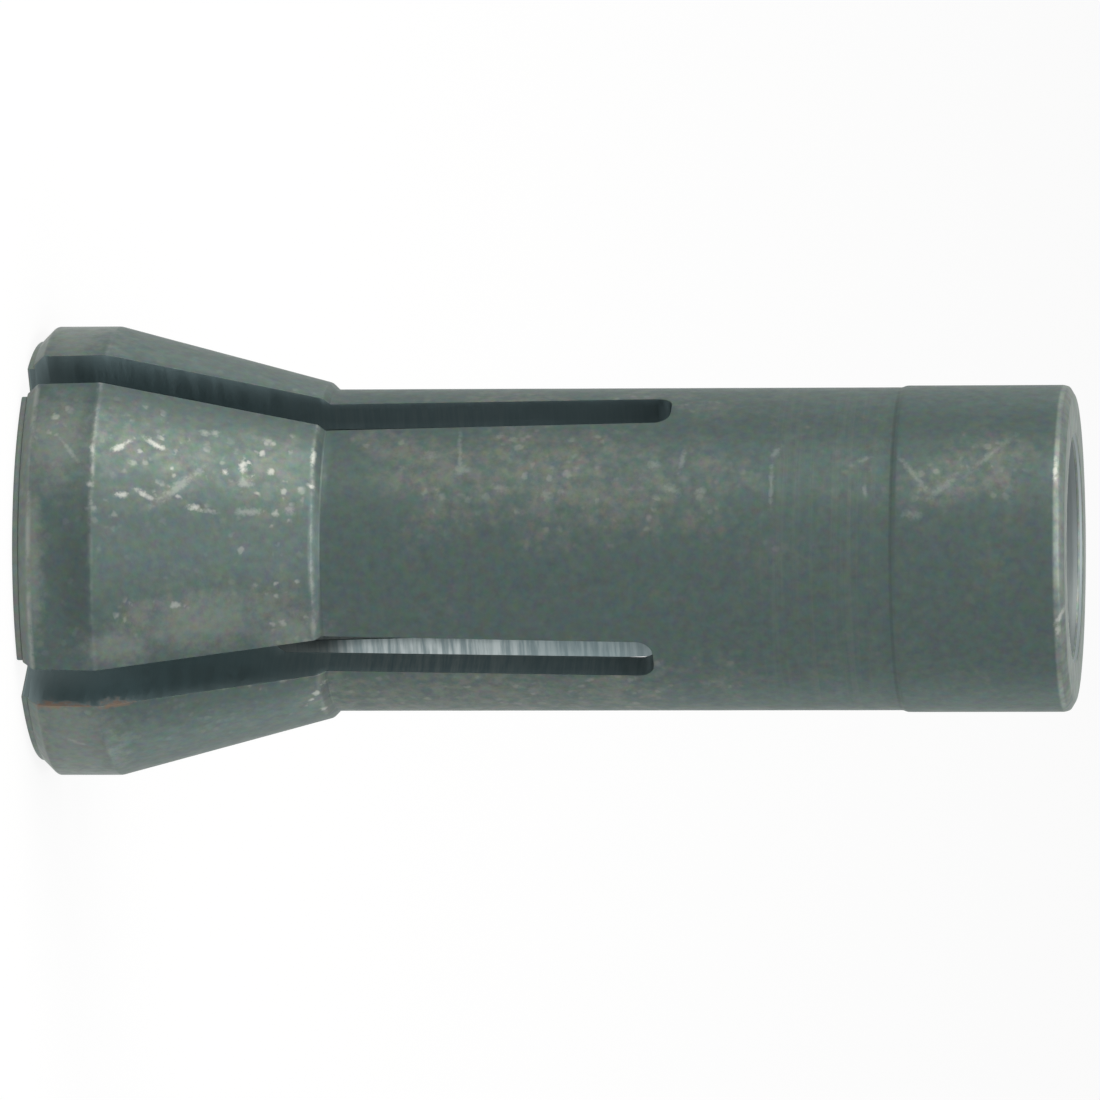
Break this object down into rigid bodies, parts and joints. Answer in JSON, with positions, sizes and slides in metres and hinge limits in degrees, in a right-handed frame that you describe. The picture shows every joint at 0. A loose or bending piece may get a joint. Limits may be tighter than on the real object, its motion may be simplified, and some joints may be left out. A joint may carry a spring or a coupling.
{
  "type": "collet cone",
  "caption": "Slotted collet cone that grips a straight tool shank when its tapered head is drawn or pushed into a matching seat.",
  "frame": {"origin": "centre of the nose face, on the axis of the bore; the part stands on its nose face", "axes": "+Z runs along the axis of the bore from the nose to the rear end; the two saw cuts lie along X and Y"},
  "size_m": [0.0126, 0.0126, 0.029],
  "materials": {
    "blackened_steel": "grey-green phosphated and oiled steel, with bright nicks on the taper and edges"
  },
  "bodies": {
    "root": {"collet_cone": "blackened_steel"}
  },
  "joints": []
}
